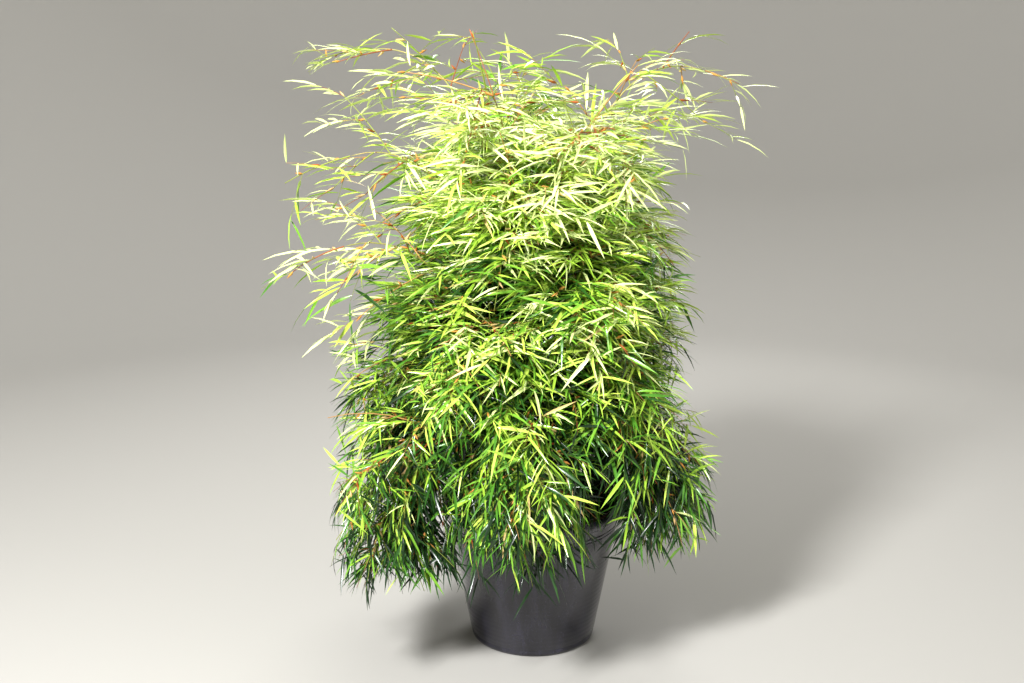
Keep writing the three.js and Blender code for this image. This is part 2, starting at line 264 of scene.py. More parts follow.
# The soil is dark, moist potting mix that was filled in loosely and has settled into low heaps. It fills the pot
# to 38 mm below the lip, and crumbs and bits of bark lie loose on top.
SOIL_TOP = 0.362
SOIL_FLOOR = 0.0145
SOIL_TOP_RADIUS = 0.2258
SOIL_FLOOR_RADIUS = 0.159
SOIL_SIDES = 72
SOIL_RINGS = 22
SOIL_HEAP = 0.006
SLOW_WAVES = ((31, 1.3), (27, 0.4), (58, -41))  # radians per metre, for waves 110 to 230 mm long
QUICK_WAVES = ((173, 90, 2.1), (161, 110, 1.7))  # waves under 40 mm long that others bend
CRUMBS = 1500
CRUMB_SEED = 11
CRUMB_EDGE = 0.008  # how far inside the soil's edge they stay
CRUMB_LEAST = 0.0015
CRUMB_MOST = 0.0055
CRUMB_DENTS = (0.7, 1.3)
CRUMB_SLIGHT = (0.8, 0.8, 0.45)  # length, width and height of the slightest, as shares of its size
CRUMB_STOUT = (1.7, 1.1, 0.8)
CRUMB_PROUD = 0.2

bpy.ops.mesh.primitive_circle_add(
    vertices=SOIL_SIDES, radius=SOIL_FLOOR_RADIUS, fill_type="NGON", location=(0, 0, SOIL_FLOOR)
)
soil = bpy.context.object
soil.name = "potting_soil"
bpy.ops.object.transform_apply(location=True)
bpy.ops.object.mode_set(mode="EDIT")
bpy.ops.mesh.select_all(action="SELECT")
extruded([(SOIL_TOP_RADIUS, SOIL_TOP)], (SOIL_FLOOR_RADIUS, SOIL_FLOOR))
for _ in range(SOIL_RINGS - 1):
    bpy.ops.mesh.inset(thickness=SOIL_TOP_RADIUS / SOIL_RINGS)
bpy.ops.mesh.select_all(action="SELECT")
bpy.ops.mesh.normals_make_consistent(inside=False)
bpy.ops.object.mode_set(mode="OBJECT")


def soil_height(x, y):
    """How high the soil's surface lies at a place: slow low heaps with quick small ones on them."""
    (a, start_a), (b, start_b), (c, d) = SLOW_WAVES
    slow = np.sin(a * x + start_a) * np.sin(b * y + start_b) + 0.6 * np.sin(c * x + d * y)
    (a, bend_a, far_a), (b, bend_b, far_b) = QUICK_WAVES
    quick = np.sin(a * x + far_a * np.sin(bend_a * y)) * np.sin(b * y + far_b * np.sin(bend_b * x))
    return SOIL_TOP + SOIL_HEAP * (0.4 * slow + 0.35 * quick)


for vertex in soil.data.vertices:
    if vertex.co.z > (SOIL_FLOOR + SOIL_TOP) / 2:
        vertex.co.z = soil_height(vertex.co.x, vertex.co.y)
bpy.ops.object.shade_smooth()


def joined_mesh(name, points, faces):
    """A new object whose mesh is made from arrays of points and faces."""
    mesh = bpy.data.meshes.new(name)
    mesh.from_pydata(points, [], faces)
    mesh.update()
    made = bpy.data.objects.new(name, mesh)
    bpy.context.scene.collection.objects.link(made)
    return made


bpy.ops.mesh.primitive_ico_sphere_add(subdivisions=1, radius=1)
pebble = bpy.context.object
pebble_points = np.array([v.co for v in pebble.data.vertices])
pebble_faces = np.array([p.vertices for p in pebble.data.polygons])
bpy.data.objects.remove(pebble)
dice = np.random.default_rng(CRUMB_SEED)
crumb_points = []
for _ in range(CRUMBS):
    out = (SOIL_TOP_RADIUS - CRUMB_EDGE) * math.sqrt(dice.random())
    turn = dice.random() * math.tau
    x, y = out * math.cos(turn), out * math.sin(turn)
    size = CRUMB_LEAST + (CRUMB_MOST - CRUMB_LEAST) * dice.random() ** 3
    lump = pebble_points * dice.uniform(*CRUMB_DENTS, pebble_points.shape) * size
    lump *= dice.uniform(CRUMB_SLIGHT, CRUMB_STOUT)
    spin = dice.random() * math.tau
    spun = np.array([[math.cos(spin), -math.sin(spin), 0], [math.sin(spin), math.cos(spin), 0], [0, 0, 1]])
    crumb_points.append(lump @ spun.T + (x, y, soil_height(x, y) + CRUMB_PROUD * size))
crumb_faces = (pebble_faces + np.arange(CRUMBS)[:, None, None] * len(pebble_points)).reshape(-1, 3)
crumbs = joined_mesh("soil_crumbs", np.concatenate(crumb_points), crumb_faces)

# Potting mix: peat, composted bark and sand, moist and matt. It is painted nearly black in the hollows of its fibre
# bump, as painted shade, with brown fibres about 1 mm wide, drawn at 3 mm so that they show, and darker lumps of 20
# mm.
mix, tree = new_material("moist_potting_mix")
place = add(tree, "ShaderNodeTexCoord").outputs["Object"]
fibres = add(tree, "ShaderNodeTexNoise", {"Vector": place, "Scale": 320.0, "Detail": 6.0, "Roughness": 0.7})
lumps = add(tree, "ShaderNodeTexNoise", {"Vector": place, "Scale": 45.0, "Detail": 3.0})
# Painted shade: the colour is darkest where the fibre noise that makes the bump is low, in its hollows; the lumps vary
# it at random.
hollow_shade_and_lumps = add(tree, "ShaderNodeMath", {0: fibres.outputs[0], 1: lumps.outputs[0]}, operation="MULTIPLY")
browns = add(tree, "ShaderNodeValToRGB", {"Fac": hollow_shade_and_lumps.outputs[0]})
ramp = browns.color_ramp
ramp.elements[0].position, ramp.elements[0].color = 0.14, linear("#17110c")
ramp.elements[1].position, ramp.elements[1].color = 0.42, linear("#5d4431")
ramp.elements.new(0.28).color = linear("#33251a")
rough = add(tree, "ShaderNodeBump", {"Height": fibres.outputs[0], "Strength": 0.7, "Distance": 0.002})
shader = add(
    tree,
    "ShaderNodeBsdfPrincipled",
    {"Base Color": browns.outputs[0], "Roughness": 0.94, "Normal": rough.outputs[0]},
)
add(tree, "ShaderNodeOutputMaterial", {"Surface": shader.outputs[0]})
for piece in (soil, crumbs):
    piece.data.materials.append(mix)
    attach(piece, "root")
    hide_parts("soil")


# The canes are 24 bamboo culms: hollow, smooth, olive to tan, with a raised ring at each joint. They stand in the
# soil, each about a golden angle further round, and arch out, the low ones from nearer the rim. Each goes on as
# the stem of its leafy mass, and thins to its tip.
CANE_COUNT = 24
CROWN = [  # height, and how far out the tips lie there
    (0.300, 0.450),
    (0.600, 0.340),
    (0.900, 0.300),
    (1.300, 0.310),
    (1.650, 0.250),
]
# The lowest and the highest cane. Each has the height of its tip, how far out it stands, how far its tip hangs below
# its bend, where the bend lies as a share of its reach, how far it leans to the left, and how much of it is bare.
LOWEST = {"tip": 0.375, "foot": 0.150, "hang": 0.440, "bend_out": 0.88, "lean": 0.050, "bare": 0.36}
HIGHEST = {"tip": 1.600, "foot": 0.030, "hang": 0.080, "bend_out": 0.40, "lean": 0.010, "bare": 0.54}
FAR_SHOOTS = {  # what is different on the canes that reach out beyond the crown, by their numbers
    14: {"tip": 1.130, "reach": 0.540, "hang": 0.050},
    19: {"reach": 0.470, "hang": 0.070},
    23: {"reach": 0.430, "hang": 0.090},
    24: {"reach": 0.450, "hang": 0.040},
}
FIRST_TURN = 200  # degrees
TURN_STEP = 138.2
TURN_SPREAD = 9
REACH_SPREAD = 0.08
RISE = 0.72  # how far up to the bend the curve's second point stands over the foot, and its share of the lean
RISE_LEAN = 0.3
CURVE_STEPS = 30
FINE_STEPS = 200
CANE_CLEAR = 0.0003  # between the soil and a cane's foot
CANE_FOOT_RADIUS = 0.0055
CANE_CUT_RADIUS = 0.0034
STEM_TIP_RADIUS = 0.0012
JOINT_SPACING = 0.068
SUNK = 0.012  # how far a cane's foot stands in the soil
CANE_SIDES = 10
JOINT_FOOT = (1.0, 0.0)
JOINT_PROFILE = [  # share of the cane's radius, and how far along from one joint to the next
    (1.08, 0.012),
    (1.26, 0.030),
    (1.30, 0.045),
    (1.10, 0.062),
    (0.98, 0.085),
    (0.95, 0.400),
    (0.96, 0.800),
    (1.00, 1.000),
]
SCAR_TOP = 0.06  # the scar and the bloom end so far along from a joint to the next
BLOOM_TOP = 0.2
JOINT_WELD = 0.00002
SEED_STEP = 37
SEED_START = 5


class Draw:
    """The solids' own row of seeded numbers, so that the canes grow as theirs do."""

    def __init__(self, seed):
        self.state = seed
        for _ in range(4):
            self.number()

    def number(self):
        self.state = (self.state * 1664525 + 1013904223) % 2**32
        return self.state / 2**32

    def spread(self, amount):
        return (2 * self.number() - 1) * amount


def cane_path(index):
    """Evenly spaced points from a cane's foot to its tip, its bare share, and the level way square to its bend."""
    rank = index / (CANE_COUNT - 1)
    m = {key: low + (HIGHEST[key] - low) * rank for key, low in LOWEST.items()}
    m.update(FAR_SHOOTS.get(index + 1, {}))
    draw = Draw(SEED_STEP * index + SEED_START)
    azimuth = math.radians(FIRST_TURN + TURN_STEP * index + draw.spread(TURN_SPREAD))
    reach = m.get("reach", np.interp(m["tip"], *zip(*CROWN))) * (1 + draw.spread(REACH_SPREAD))
    bend = m["tip"] + m["hang"]

    def spot(out, height, turn, lean):
        return np.array([out * math.cos(turn) - lean * m["lean"], out * math.sin(turn), height])

    a = spot(m["foot"], SOIL_TOP + CANE_CLEAR, azimuth, 0)
    b = spot(m["foot"], SOIL_TOP + RISE * (bend - SOIL_TOP), azimuth, RISE_LEAN)
    c = spot(reach * m["bend_out"], bend, azimuth + math.radians(draw.spread(TURN_SPREAD)), 1)
    d = spot(reach, m["tip"], azimuth, 1)

    def curve(shares):
        t = shares[:, None]
        return (1 - t) ** 3 * a + 3 * (1 - t) ** 2 * t * b + 3 * (1 - t) * t**2 * c + t**3 * d

    shares = np.linspace(0, 1, FINE_STEPS + 1)
    run = np.concatenate([[0], np.cumsum(np.linalg.norm(np.diff(curve(shares), axis=0), axis=1))])
    points = curve(np.interp(np.linspace(0, run[-1], CURVE_STEPS + 1), run, shares))
    return points, m["bare"], np.array([-math.sin(azimuth), math.cos(azimuth), 0])


def along(points, share):
    """The place at a share of the way along a row of points."""
    place = min(max(share, 0), 1) * (len(points) - 1)
    low = min(int(place), len(points) - 2)
    return points[low] + (points[low + 1] - points[low]) * (place - low)


def unit(way):
    return way / math.sqrt(way @ way)


def heading(points, share):
    step = 0.5 / (len(points) - 1)
    return unit(along(points, share + step) - along(points, share - step))


bpy.ops.mesh.primitive_circle_add(vertices=CANE_SIDES, radius=JOINT_FOOT[0], fill_type="NOTHING")
joint = bpy.context.object
bpy.ops.object.mode_set(mode="EDIT")
bpy.ops.mesh.select_all(action="SELECT")
extruded(JOINT_PROFILE, JOINT_FOOT)
bpy.ops.object.mode_set(mode="OBJECT")
joint_points = np.array([v.co for v in joint.data.vertices])
joint_faces = np.array([p.vertices for p in joint.data.polygons])  # they face in here, and out along a cane
bpy.data.objects.remove(joint)

paths = [cane_path(index) for index in range(CANE_COUNT)]
cane_points, cane_faces, cane_tones, cane_total = [], [], [], 0
face_heights = joint_points[joint_faces][:, :, 2].mean(1)
face_tones = np.select([face_heights < SCAR_TOP, face_heights < BLOOM_TOP], [1, 2], 0)
for points, bare, level in paths:
    length = np.linalg.norm(np.diff(points, axis=0), axis=1).sum()
    joints = round(length / JOINT_SPACING)
    for k in range(joints):
        made = np.empty_like(joint_points)
        for i, (x, y, z) in enumerate(joint_points):
            share = (k + z) / joints
            ahead = heading(points, share)
            over = unit(np.cross(level, ahead))
            side = np.cross(ahead, over)
            if share < bare:
                radius = CANE_FOOT_RADIUS + (CANE_CUT_RADIUS - CANE_FOOT_RADIUS) * share / bare
            else:
                radius = CANE_CUT_RADIUS + (STEM_TIP_RADIUS - CANE_CUT_RADIUS) * (share - bare) / (1 - bare)
            made[i] = along(points, share) + radius * (x * side + y * over)
            if share == 0:
                made[i][2] -= SUNK
            if math.isclose(share, 1, rel_tol=1e-5):
                made[i] = along(points, share)
        cane_points.append(made)
        cane_faces.append(joint_faces + cane_total)
        cane_tones.append(face_tones)
        cane_total += len(joint_points)
canes = joined_mesh("bamboo_canes", np.concatenate(cane_points), np.concatenate(cane_faces))
canes.data.polygons.foreach_set("material_index", np.concatenate(cane_tones))
bpy.ops.object.select_all(action="DESELECT")
canes.select_set(True)
bpy.context.view_layer.objects.active = canes
bpy.ops.object.mode_set(mode="EDIT")
bpy.ops.mesh.select_all(action="SELECT")
bpy.ops.mesh.remove_doubles(threshold=JOINT_WELD)
bpy.ops.object.mode_set(mode="OBJECT")
bpy.ops.object.shade_smooth()


def cane_skin(name, young, old, pale, roughness):
    """The culm's hard, waxy skin: it ages in patches of about 70 mm, with lengthways streaks 1.5 mm wide."""
    made, tree = new_material(name)
    place = add(tree, "ShaderNodeTexCoord").outputs["Object"]
    patches = add(tree, "ShaderNodeTexNoise", {"Vector": place, "Scale": 14.0, "Detail": 3.0})
    ages = add(tree, "ShaderNodeValToRGB", {"Fac": patches.outputs[0]})
    ramp = ages.color_ramp
    ramp.elements[0].position, ramp.elements[0].color = 0.4, linear(young)
    ramp.elements[1].position, ramp.elements[1].color = 0.62, linear(old)
    upright = add(tree, "ShaderNodeMapping", {"Vector": place, "Scale": (1, 1, 0.08)}).outputs[0]
    lines = add(tree, "ShaderNodeTexNoise", {"Vector": upright, "Scale": 700.0, "Detail": 2.0})
    line = add(
        tree, "ShaderNodeMapRange", {"Value": lines.outputs[0], "From Min": 0.5, "From Max": 0.8, "To Max": 0.4}
    )
    streaked = add(
        tree, "ShaderNodeMix", {0: line.outputs[0], 6: ages.outputs[0], 7: linear(pale)}, data_type="RGBA"
    )
    shader = add(
        tree, "ShaderNodeBsdfPrincipled", {"Base Color": streaked.outputs[2], "Roughness": roughness, "IOR": 1.47}
    )
    add(tree, "ShaderNodeOutputMaterial", {"Surface": shader.outputs[0]})
    return made


# Bamboo culm: a silica-rich skin with a satin shine. A brown scar runs round each joint where a sheath fell off,
# and the stretch just above it keeps a pale bloom of wax.
canes.data.materials.append(cane_skin("bamboo_culm_skin", "#7c8a34", "#b09a54", "#c9bd7c", 0.38))
canes.data.materials.append(cane_skin("bamboo_joint_scar", "#7d5a34", "#5f4028", "#a98a5c", 0.6))
canes.data.materials.append(cane_skin("bamboo_wax_bloom", "#a8b184", "#c2b98a", "#dad6b8", 0.55))
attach(canes, "root")
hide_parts(*[f"cane_{i + 1:02d}" for i in range(CANE_COUNT)])


# The leafy masses grow on from the canes by the rule of the solids: twigs stand off each stem a golden angle apart and
# sag, and sprays stand off these, thin shoots with lance-shaped leaves in two ranks and one at the tip. They hang near
# the pot and lie in level layers higher up, in tufts with dark hollows between them, and the top is open.
FIRST_SEED = 500
UP = np.array([0.0, 0.0, 1.0])
GOLDEN_ANGLE = math.radians(137.5)
# The lowest mass, the highest, and what is different on a far shoot: how many twigs it has, sprays on a twig and
# leaves on a spray, how long each of these is, and how far they sag.
LOW_MASS = {"twigs": 36, "twig": 0.230, "sag": 0.75, "sprays": 7, "spray": 0.095, "leaves": 12, "leaf": 0.080}
HIGH_MASS = {"twigs": 29, "twig": 0.190, "sag": 0.18, "sprays": 6, "spray": 0.105, "leaves": 10, "leaf": 0.088}
FAR_MASS = {"twigs": 13, "sprays": 3, "leaves": 6, "leaf": 0.096}
FAR_DEEPER = 0.1  # how much deeper in tone a far shoot's leaves are
HANGING_DROOP = (0.45, 0.60)  # up to this height leaves droop this much
LEVEL_DROOP = (0.80, 0.05)
STEEP = (0.45, 1.0)  # up to this height the ways of twigs and leaves stay as steep as they come
LEVEL = (0.85, 0.5)  # from this height on they are half as steep
THINS_FROM = 1.30
THINNEST = (1.57, 0.93)  # at this height so many sprays are left out
OUTLINE = [  # height, and the crown's edge there
    (0.25, 0.43),
    (0.50, 0.43),
    (0.80, 0.40),
    (1.00, 0.44),
    (1.20, 0.43),
    (1.40, 0.40),
    (1.67, 0.34),
]
OUTLINE_MIDDLE = -0.03  # the crown leans a little to the left
OUTLINE_SPREAD = 0.08
HOLLOW_WAVES = (23.0, 21.0, 26.0)  # radians per metre, for hollows about 0.13 m across between the tufts
HOLLOW_START = 2.0
HOLLOW_BENDS = ((2.0, 9.0), (1.5, 11.0))  # how far the first and the last wave stray, and how fast, so no rows show
HOLLOW_WAVE = -0.6  # sprays go missing where the waves together are below this
HOLLOW_FROM = 0.55  # hollows keep outside this share of the reach
HOLLOW_LOWEST = 0.58
HOLLOW_EMPTY = 0.9  # the share of sprays that is missing at the deepest place of a hollow
STEM_POINTS = 19
TWIG_LAST = 0.97  # how far along the stem the last side twig stands
TWIG_ANGLE = math.radians(56)
TWIG_ANGLE_SPREAD = math.radians(16)
TWIG_TURN_SPREAD = math.radians(25)
TWIG_LENGTH_SPREAD = 0.3
TWIG_SHRINK = 0.25  # how much shorter the twigs are at the stem's tip
TWIG_STEPS = 5
SPRAY_FIRST = 0.15  # how far along the twig the first spray stands
SPRAY_ANGLE = math.radians(48)
SPRAY_ANGLE_SPREAD = math.radians(18)
SPRAY_LENGTH_SPREAD = 0.25
SPRAY_COUNT_SPREAD = 0.8
SPRAY_TURN_SPREAD = 0.5
SPRAY_SAG_SHARE = 0.6
SPRAY_STEPS = 4
LEAF_FIRST = 0.15
LEAF_COUNT_SPREAD = 2
FEWEST_LEAVES = 3  # besides the one at the tip
LEAF_ANGLE = math.radians(38)
LEAF_ANGLE_SPREAD = 0.4
LEAF_DROOP_RANGE = (0.3, 1.5)
LEAF_JUMBLE = 0.40  # how much a leaf's way strays from its rank
LEAF_ROLL = math.radians(55)
LEAF_OUTWARD = 0.4  # how far the upper faces lean outwards
OUTWARD_RISE = 0.05  # a little rise, so that there is a way outwards at the middle too
LEAF_FOOT_LENGTH = 0.85  # the lowest leaf of a spray, as a share of the usual length
LEAF_TIP_GAIN = 0.2
LEAF_LENGTH_SPREAD = 0.28
LEAF_SLENDERNESS = 0.078  # width as a share of length
LEAF_WIDTH_SPREAD = 0.2
LEAF_FOLD = 0.3
LEAF_ARCH = 0.04
LEAF_CURL = 0.11
LEAF_CURL_RANGE = (0.1, 1.8)
LEAF_RINGS = [(0.08, 0.5), (0.33, 1.0), (0.7, 0.68)]  # how far along, and the half width there
LOWEST_LEAF = 0.25
LOWEST_LEAF_SPREAD = 0.05
HIGHEST_LEAF = 1.665
LIP_CLEAR = 0.405  # a leaf is above this height, or outside this radius
POT_CLEAR = 0.257
ROOM_MARGIN = 0.012  # leaves may stand this far proud of their solid's box
LEAF_PIECES = ("leaves_skirt", "leaves_low", "leaves_waist", "leaves_middle", "leaves_shoulder", "leaves_top")
MASSES_PER_PIECE = 4


def square_to(ahead):
    """Two ways square to a heading, the first of them level."""
    side = np.cross(ahead, UP)
    upright = side @ side < 1e-6
    side = np.array([1.0, 0.0, 0.0]) if upright else unit(side)
    return side, np.cross(side, ahead)


def turned_off(ahead, angle, spin):
    """A way that stands off a heading by an angle, on the side that a spin round the heading gives."""
    side, over = square_to(ahead)
    return ahead * math.cos(angle) + math.sin(angle) * (side * math.cos(spin) + over * math.sin(spin))


def sagging(root, way, length, sag, steps):
    """The points of a twig that starts off in one way and sags evenly."""
    points = [root]
    for _ in range(steps):
        way = unit(way - UP * sag / steps)
        points.append(points[-1] + way * length / steps)
    return np.array(points)


def crown_edge(z):
    """How far out from the crown's middle its leaves may reach at a height."""
    return np.interp(z, *zip(*OUTLINE))


def in_reach(places, room, lowest, slack):
    """True for each place that is clear of the pot, and in a mass's own room or inside the crown's shared outline."""
    x, y, z = places.T
    clear = (z > lowest) & (z < HIGHEST_LEAF) & ((z > LIP_CLEAR) | (np.hypot(x, y) > POT_CLEAR))
    own = (places >= room[0]).all(1) & (places <= room[1]).all(1)
    return clear & (own | (np.hypot(x - OUTLINE_MIDDLE, y) < slack * crown_edge(z)))


def hollowness(place):
    """How likely a spray is missing here, because the leaves stand in tufts with darker hollows between them."""
    x, y, z = place
    a, b, c = HOLLOW_WAVES
    out = math.hypot(x - OUTLINE_MIDDLE, y) / crown_edge(z)
    if out < HOLLOW_FROM or z < HOLLOW_LOWEST:
        return 0
    first, last = (far * math.sin(fast * at) for (far, fast), at in zip(HOLLOW_BENDS, (z, x)))
    wave = math.sin(a * x + first) + math.sin(b * y + HOLLOW_START) + math.sin(c * z + last)
    return HOLLOW_EMPTY * min(max(HOLLOW_WAVE - wave, 0), 1)


def units(ways):
    return ways / np.linalg.norm(ways, axis=1, keepdims=True)


def levelled(ways, heights):
    """Ways with their rise made less where they start high up, as the twigs there lie in layers."""
    rise = ways[:, 2] * np.interp(heights, *zip(STEEP, LEVEL))
    return units(np.column_stack([ways[:, :2], rise]))


def leaves_on(spray, form, dice):
    """The leaves of one spray, a row for each: its root, its way, the way its upper face looks, and its length."""
    count = max(round(form["leaves"] + dice.uniform(-LEAF_COUNT_SPREAD, LEAF_COUNT_SPREAD)), FEWEST_LEAVES) + 1
    share = np.linspace(LEAF_FIRST, 1, count)
    steps = np.linspace(0, 1, len(spray))
    root = np.stack([np.interp(share, steps, spray[:, a]) for a in range(3)], 1)
    ahead = unit(spray[-1] - spray[0])
    rank = (-1.0) ** np.arange(count) * (np.arange(count) < count - 1)
    angle = LEAF_ANGLE * dice.uniform(1 - LEAF_ANGLE_SPREAD, 1 + LEAF_ANGLE_SPREAD, count) * rank
    way = np.outer(np.cos(angle), ahead) + np.outer(np.sin(angle), square_to(ahead)[0])
    droop = np.interp(root[:, 2], *zip(HANGING_DROOP, LEVEL_DROOP)) * dice.uniform(*LEAF_DROOP_RANGE, count)
    way += LEAF_JUMBLE * dice.normal(size=(count, 3)) - np.outer(droop, UP)
    way = levelled(way, root[:, 2])
    outward = unit(np.array([root[0, 0], root[0, 1], OUTWARD_RISE])) * LEAF_OUTWARD + UP
    side = units(np.cross(way, outward))
    roll = dice.uniform(-LEAF_ROLL, LEAF_ROLL, (count, 1))
    face = np.cross(side, way) * np.cos(roll) + side * np.sin(roll)
    length = form["leaf"] * (LEAF_FOOT_LENGTH + LEAF_TIP_GAIN * share)
    length = length * dice.uniform(1 - LEAF_LENGTH_SPREAD, 1 + LEAF_LENGTH_SPREAD, count)
    return np.column_stack([root, way, face, length])


def twig_on(stem, k, form, dice):
    """One of the twigs on a stem. The last goes straight on from the stem's tip."""
    count = round(form["twigs"])
    share = TWIG_LAST * k / count if k < count else 1
    spin = GOLDEN_ANGLE * k + dice.uniform(-TWIG_TURN_SPREAD, TWIG_TURN_SPREAD)
    angle = TWIG_ANGLE + dice.uniform(-TWIG_ANGLE_SPREAD, TWIG_ANGLE_SPREAD) if k < count else 0
    spread = dice.uniform(-TWIG_LENGTH_SPREAD, TWIG_LENGTH_SPREAD)
    length = form["twig"] * (1 + spread) * (1 - TWIG_SHRINK * share)
    way = turned_off(heading(stem, share), angle, spin)
    return sagging(along(stem, share), way, length, form["sag"], TWIG_STEPS)


def spray_on(twig, k, count, form, dice):
    """One of the sprays on a twig. The last goes straight on from the twig's tip."""
    share = SPRAY_FIRST + (1 - SPRAY_FIRST) * k / count
    spin = GOLDEN_ANGLE * k + dice.uniform(-SPRAY_TURN_SPREAD, SPRAY_TURN_SPREAD)
    angle = SPRAY_ANGLE + dice.uniform(-SPRAY_ANGLE_SPREAD, SPRAY_ANGLE_SPREAD) if k < count else 0
    length = form["spray"] * (1 + dice.uniform(-SPRAY_LENGTH_SPREAD, SPRAY_LENGTH_SPREAD))
    root = along(twig, share)
    way = levelled(turned_off(heading(twig, share), angle, spin)[None], root[2:])[0]
    return sagging(root, way, length, form["sag"] * SPRAY_SAG_SHARE, SPRAY_STEPS)


def leafy_mass(index, points, bare):
    """What one cane's stem carries: its twigs, sprays and leaves, and for each leaf a tone that its spray shares."""
    rank = index / (CANE_COUNT - 1)
    form = {key: value + (HIGH_MASS[key] - value) * rank for key, value in LOW_MASS.items()}
    far = index + 1 in FAR_SHOOTS
    if far:
        form.update(FAR_MASS)
    dice = np.random.default_rng(FIRST_SEED + index)
    room = np.array(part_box(f"leaves_{index + 1:02d}")) + [[-ROOM_MARGIN] * 3, [ROOM_MARGIN] * 3]
    stem = np.array([along(points, share) for share in np.linspace(bare, 1, STEM_POINTS)])
    twigs, sprays, leaves, tones = [], [], [], []
    for k in range(round(form["twigs"]) + 1):
        twig = twig_on(stem, k, form, dice)
        if not in_reach(twig[-1:], room, LOWEST_LEAF, 1)[0]:
            continue
        twigs.append(twig)
        count = round(form["sprays"] + dice.uniform(-SPRAY_COUNT_SPREAD, SPRAY_COUNT_SPREAD))
        for j in range(count + 1):
            spray = spray_on(twig, j, count, form, dice)
            slack = 1 + dice.uniform(-OUTLINE_SPREAD, OUTLINE_SPREAD)
            lowest = LOWEST_LEAF + dice.uniform(0, LOWEST_LEAF_SPREAD)
            thinned = np.interp(spray[0, 2], (THINS_FROM, THINNEST[0]), (0, THINNEST[1]))
            missing = dice.random() < max(thinned, hollowness(spray[-1])) and not far
            if missing or not in_reach(spray[-1:], room, lowest, slack)[0]:
                continue
            sprays.append(spray)
            some = leaves_on(spray, form, dice)
            middle, tip = (some[:, :3] + some[:, 3:6] * some[:, 9:] * share for share in (0.5, 1))
            some = some[in_reach(middle, room, lowest, slack) & in_reach(tip, room, lowest, slack)]
            leaves.append(some)
            tones.append(np.full(len(some), dice.random() - FAR_DEEPER * far))
    return twigs, sprays, np.concatenate(leaves), np.concatenate(tones)


grown = [leafy_mass(index, points, bare) for index, (points, bare, _) in enumerate(paths)]
twigs_of_mass, sprays_of_mass, leaves_of_mass, tones_of_mass = zip(*grown)

# Living bamboo leaf: a thin, tough blade with a satin wax skin, folded a little along its midrib. Young leaves at the
# top and the tips are lime yellow, older ones inside and low down are deep green, and a few have dried to straw. The
# tones also carry painted light and shade: leaves high up and at the outline are painted lighter as if in sun, the
# palest lime being a painted highlight, and leaves low down and inside are painted darker as shade, down to a
# near-black painted shade green.
LEAF_TONES = {
    # The palest lime is a painted highlight of sunlit leaves, and the shade green is painted shade.
    "bamboo_leaf_painted_sunlit_pale_lime": "#e0ee9c",
    "bamboo_leaf_lime": "#c0dc58",
    "bamboo_leaf_yellow_green": "#9cc53d",
    "bamboo_leaf_fresh_green": "#70a430",
    "bamboo_leaf_mid_green": "#487d24",
    "bamboo_leaf_deep_green": "#254d17",
    "bamboo_leaf_painted_shade_green": "#112c0e",
    "bamboo_leaf_dry_straw": "#cfb676",
}
# Painted light and shade: each leaf gets a light from its height and from how far out it stands, and its tone follows
# it.
TONE_STEPS = np.array([0.82, 0.62, 0.47, 0.33, 0.20, 0.05])  # the least light for each tone but the deepest
LEAST_LIGHT = 0.01  # of a lowest leaf at the outline
PAINTED_LIGHT_BY_HEIGHT = 1.29
CROWN_HEIGHT = 1.35
LIGHTEST_HEIGHT = 0.85  # a share of the crown's height, above which the light stays the same
PAINTED_SHADE_BY_REACH = (1.1, 0.7)  # what is lost from the outline inwards, low down, and how much less high up
REACH_RANGE = (0.4, 1.1)
LIGHTEST_REACH = 1.05
SPRAY_TONE_SPREAD = 0.7
LEAF_TONE_SPREAD = (0.7, 0.3)  # low down, and how much less high up
STRAW_SHARE = 0.004
TONE_SEED = 31
CURL_SEED = 77
leaf_skins = []
for name, colour in LEAF_TONES.items():
    skin, tree = new_material(name)
    shader = add(
        tree,
        "ShaderNodeBsdfPrincipled",
        {
            "Base Color": linear(colour),
            "Roughness": 0.3,
            "IOR": 1.45,
            "Coat Weight": 0.2,
            "Coat Roughness": 0.14,
        },
    )
    add(tree, "ShaderNodeOutputMaterial", {"Surface": shader.outputs[0]})
    leaf_skins.append(skin)


def leaf_tones_with_painted_light(leaves, tones):
    """Which colour each leaf has: painted light high up and far out, painted shade low down and inside, alike in a
    spray.
    """
    dice = np.random.default_rng(TONE_SEED)
    middle = leaves[:, :3] + leaves[:, 3:6] * leaves[:, 9:] * 0.5
    height = np.clip((middle[:, 2] - LOWEST_LEAF) / CROWN_HEIGHT, 0, LIGHTEST_HEIGHT)
    out = np.hypot(middle[:, 0] - OUTLINE_MIDDLE, middle[:, 1]) / crown_edge(middle[:, 2])
    out = np.clip(out, *REACH_RANGE) - LIGHTEST_REACH
    spread = LEAF_TONE_SPREAD[0] - LEAF_TONE_SPREAD[1] * height
    jitter = SPRAY_TONE_SPREAD * (tones - 0.5) + spread * (dice.random(len(leaves)) - 0.5)
    # Painted shade: leaves lose light from the crown's outline inwards, more so low down.
    painted_shade_fall = PAINTED_SHADE_BY_REACH[0] - PAINTED_SHADE_BY_REACH[1] * height
    light = LEAST_LIGHT + PAINTED_LIGHT_BY_HEIGHT * height + painted_shade_fall * out + jitter
    tone = np.digitize(-light, -TONE_STEPS)
    return np.where(dice.random(len(leaves)) < STRAW_SHARE, len(LEAF_TONES) - 1, tone)


